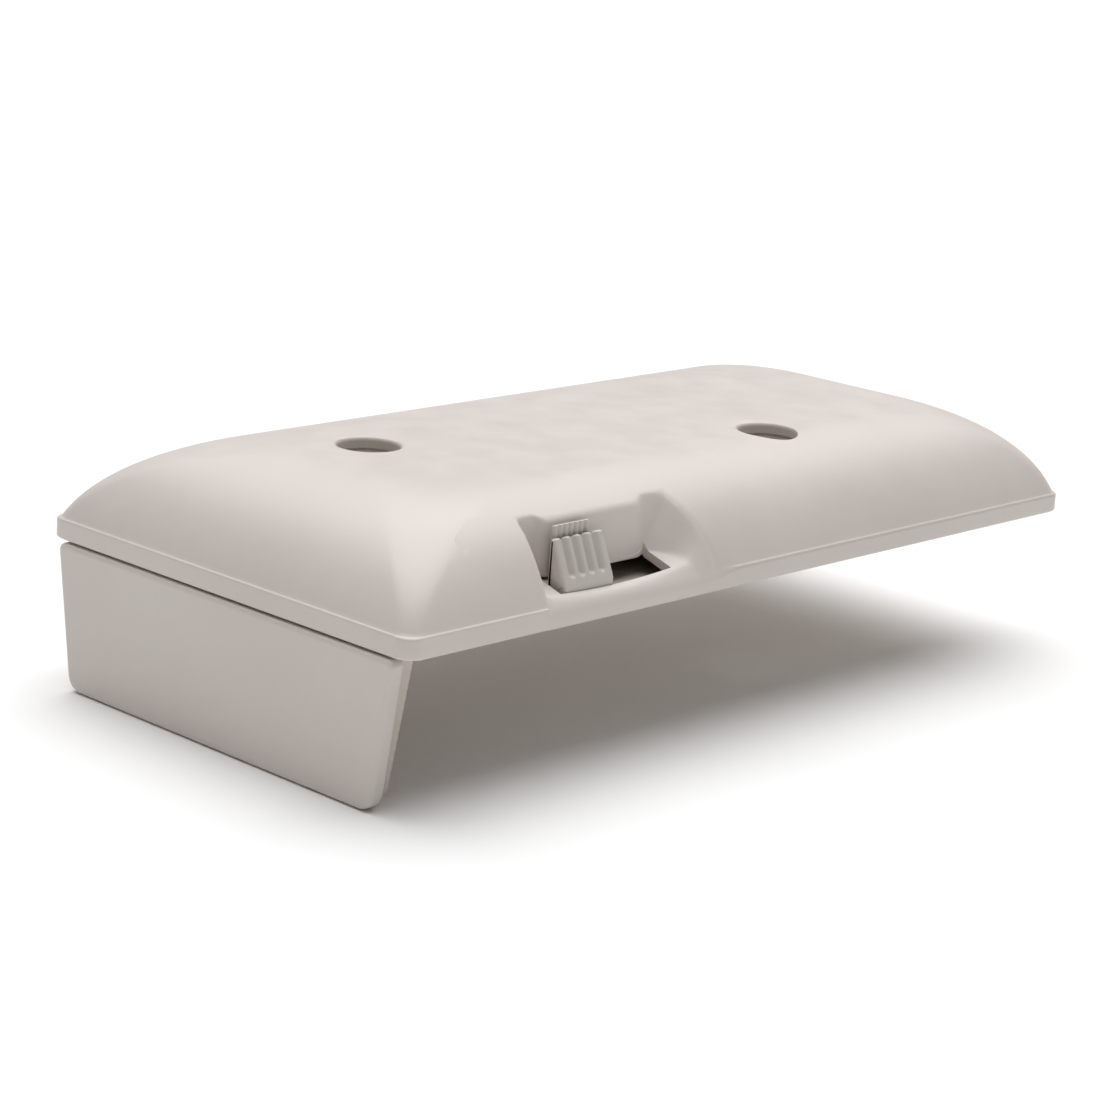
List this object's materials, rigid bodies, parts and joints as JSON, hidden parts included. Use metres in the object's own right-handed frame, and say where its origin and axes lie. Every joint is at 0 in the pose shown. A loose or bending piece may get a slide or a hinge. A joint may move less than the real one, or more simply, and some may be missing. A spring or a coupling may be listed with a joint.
{
  "type": "garage door opener",
  "caption": "Hand-operated garage door transmitter: low pillow-shaped plastic housing with a thumb slide in a side scoop, two screw recesses and a hanging end panel.",
  "frame": {"origin": "centre of the rectangular housing's flat underside, the face that lies on the mounting surface", "axes": "+X along the housing's length, away from the end panel; +Y across it, away from the finger scoop; +Z out of the mounting surface, up through the crowned top"},
  "size_m": [0.1505, 0.077, 0.039],
  "materials": {
    "moulded_cover": "satin injection-moulded ABS, pale warm grey",
    "moulded_slide": "satin injection-moulded ABS, slightly cooler grey",
    "moulded_base": "matt injection-moulded ABS, warm grey",
    "acetal": "natural acetal",
    "steel": "zinc-plated steel",
    "board_laminate": "green glass-epoxy laminate",
    "black_plastic": "black moulded plastic",
    "red_plastic": "red plastic",
    "tinned_brass": "tinned brass",
    "dark_sleeve": "blue heat-shrink sleeve",
    "resistor_lacquer": "tan lacquer",
    "copper_wire": "bare copper wire",
    "battery_sleeve": "plain grey printed sleeve"
  },
  "bodies": {
    "housing": {"cover_shell": "moulded_cover", "end_panel": "moulded_cover", "base_plate": "moulded_base", "guide_pin": "steel", "circuit_board": "board_laminate", "board_screws": "steel", "case_screws": "steel", "microswitch_body": "black_plastic", "microswitch_terminals": "tinned_brass", "encoder_chip": "black_plastic", "chip_legs": "tinned_brass", "rf_resonator": "tinned_brass", "trimmer_capacitor": "acetal", "electrolytic_capacitor": "dark_sleeve", "resistors": "resistor_lacquer", "ceramic_capacitors": "acetal", "oscillator_transistor": "black_plastic", "antenna_loop": "copper_wire", "battery_cradle": "black_plastic", "battery_cell": "battery_sleeve", "positive_contact": "tinned_brass", "negative_contact": "tinned_brass", "negative_coil": "steel", "positive_lead": "red_plastic", "negative_lead": "black_plastic"},
    "slide": {"thumb_slide": "moulded_slide", "slide_carriage": "acetal", "return_spring": "steel"},
    "plunger": {"microswitch_plunger": "red_plastic"}
  },
  "joints": [
    {"name": "thumb_slide_travel", "type": "slide", "parent": "housing", "child": "slide", "axis": [1, 0, 0], "range_m": [0, 0.0115], "stiffness_N_per_m": 120, "springref_m": -0.004, "deforming": ["return_spring"]},
    {"name": "switch_plunger_travel", "type": "slide", "parent": "housing", "child": "plunger", "axis": [0, 1, 0], "range_m": [0, 0.00115]}
  ],
  "couplings": [
    {"joint": "switch_plunger_travel", "follows": "thumb_slide_travel", "ratio": 0.1}
  ]
}
